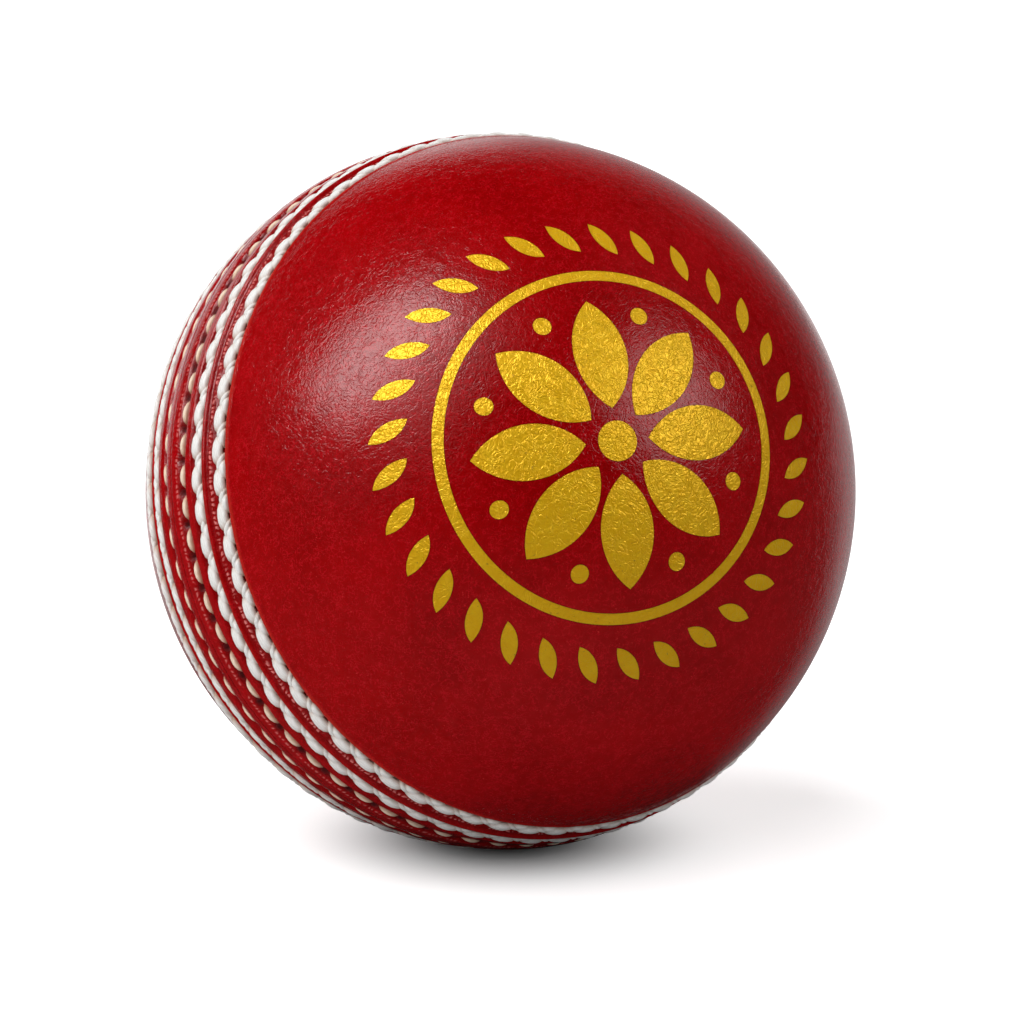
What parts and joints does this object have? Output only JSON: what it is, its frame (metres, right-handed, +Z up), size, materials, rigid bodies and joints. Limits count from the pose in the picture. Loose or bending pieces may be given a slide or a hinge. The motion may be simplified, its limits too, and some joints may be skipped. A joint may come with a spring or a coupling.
{
  "type": "cricket ball",
  "caption": "Red leather cricket ball with a raised sewn seam, a wound cork and yarn core and a gold foil rosette.",
  "frame": {"origin": "centre of the ball, which is the centre of its bounding box", "axes": "+Z up with the ball at rest, -Y towards the front, where the stamped crown faces forwards and 17.3 degrees up; the seam's plane holds the X axis and leans 17.3 degrees back from upright"},
  "size_m": [0.0728, 0.072, 0.0728],
  "materials": {
    "red_leather": "glossy dyed and polished alum-tanned leather",
    "lining_leather": "undyed skived leather",
    "white_thread": "waxed white linen thread",
    "cream_thread": "waxed natural linen thread",
    "cork": "granular cork",
    "wool_yarn": "damp-wound worsted wool yarn",
    "gold_foil": "hot-pressed gold foil"
  },
  "bodies": {
    "root": {"front_cup": "red_leather", "back_cup": "red_leather", "front_lining": "lining_leather", "back_lining": "lining_leather", "closing_thread": "cream_thread", "front_middle_thread": "white_thread", "front_outer_thread": "white_thread", "back_middle_thread": "white_thread", "back_outer_thread": "white_thread", "yarn_winding_1": "wool_yarn", "cork_strips_1": "cork", "yarn_winding_2": "wool_yarn", "cork_strips_2": "cork", "yarn_winding_3": "wool_yarn", "cork_strips_3": "cork", "yarn_winding_4": "wool_yarn", "cork_strips_4": "cork", "yarn_winding_5": "wool_yarn", "cork_strips_5": "cork", "cork_core": "cork", "gold_foil": "gold_foil"}
  },
  "joints": []
}
